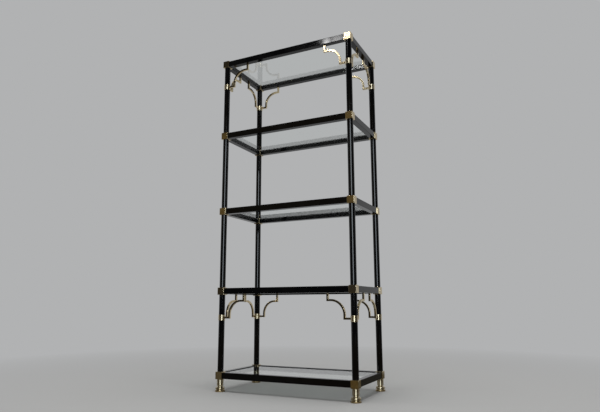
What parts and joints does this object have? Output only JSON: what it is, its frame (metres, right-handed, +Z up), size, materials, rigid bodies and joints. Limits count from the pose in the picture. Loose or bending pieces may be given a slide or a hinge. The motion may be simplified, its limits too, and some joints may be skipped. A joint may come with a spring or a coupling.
{
  "type": "etagere",
  "caption": "Open etagere: round black-lacquered posts and rails, cast brass corner blocks, turned brass feet, brass scroll brackets and drop-in clear glass shelves",
  "frame": {"origin": "on the floor, at the centre of the footprint of the four feet", "axes": "+Z up along the posts, +X to the right along the wide side, the front faces -Y"},
  "size_m": [0.803, 0.419, 1.84],
  "materials": {
    "lacquered_steel": "gloss black lacquer",
    "brass": "polished, slightly aged",
    "clear_glass": "clear, polished arrises"
  },
  "bodies": {
    "frame": {"post_front_left": "lacquered_steel", "foot_front_left": "brass", "post_front_right": "lacquered_steel", "foot_front_right": "brass", "post_back_right": "lacquered_steel", "foot_back_right": "brass", "post_back_left": "lacquered_steel", "foot_back_left": "brass", "tier_1_rail_front": "lacquered_steel", "tier_1_rail_right": "lacquered_steel", "tier_1_rail_back": "lacquered_steel", "tier_1_rail_left": "lacquered_steel", "tier_2_block_front_left": "brass", "tier_2_bracket_front_left": "brass", "tier_2_block_front_right": "brass", "tier_2_bracket_front_right": "brass", "tier_2_block_back_right": "brass", "tier_2_bracket_back_right": "brass", "tier_2_block_back_left": "brass", "tier_2_bracket_back_left": "brass", "tier_2_rail_front": "lacquered_steel", "tier_2_rail_right": "lacquered_steel", "tier_2_rail_back": "lacquered_steel", "tier_2_rail_left": "lacquered_steel", "tier_3_block_front_left": "brass", "tier_3_block_front_right": "brass", "tier_3_block_back_right": "brass", "tier_3_block_back_left": "brass", "tier_3_rail_front": "lacquered_steel", "tier_3_rail_right": "lacquered_steel", "tier_3_rail_back": "lacquered_steel", "tier_3_rail_left": "lacquered_steel", "tier_4_block_front_left": "brass", "tier_4_block_front_right": "brass", "tier_4_block_back_right": "brass", "tier_4_block_back_left": "brass", "tier_4_rail_front": "lacquered_steel", "tier_4_rail_right": "lacquered_steel", "tier_4_rail_back": "lacquered_steel", "tier_4_rail_left": "lacquered_steel", "tier_5_block_front_left": "brass", "tier_5_bracket_front_left": "brass", "tier_5_block_front_right": "brass", "tier_5_bracket_front_right": "brass", "tier_5_block_back_right": "brass", "tier_5_bracket_back_right": "brass", "tier_5_block_back_left": "brass", "tier_5_bracket_back_left": "brass", "tier_5_rail_front": "lacquered_steel", "tier_5_rail_right": "lacquered_steel", "tier_5_rail_back": "lacquered_steel", "tier_5_rail_left": "lacquered_steel"},
    "glass_1": {"tier_1_glass": "clear_glass"},
    "glass_2": {"tier_2_glass": "clear_glass"},
    "glass_3": {"tier_3_glass": "clear_glass"},
    "glass_4": {"tier_4_glass": "clear_glass"},
    "glass_5": {"tier_5_glass": "clear_glass"}
  },
  "joints": [
    {"name": "lift_glass_1", "type": "slide", "parent": "frame", "child": "glass_1", "axis": [0, 0, 1], "range_m": [0, 0.06]},
    {"name": "lift_glass_2", "type": "slide", "parent": "frame", "child": "glass_2", "axis": [0, 0, 1], "range_m": [0, 0.06]},
    {"name": "lift_glass_3", "type": "slide", "parent": "frame", "child": "glass_3", "axis": [0, 0, 1], "range_m": [0, 0.06]},
    {"name": "lift_glass_4", "type": "slide", "parent": "frame", "child": "glass_4", "axis": [0, 0, 1], "range_m": [0, 0.06]},
    {"name": "lift_glass_5", "type": "slide", "parent": "frame", "child": "glass_5", "axis": [0, 0, 1], "range_m": [0, 0.06]}
  ]
}
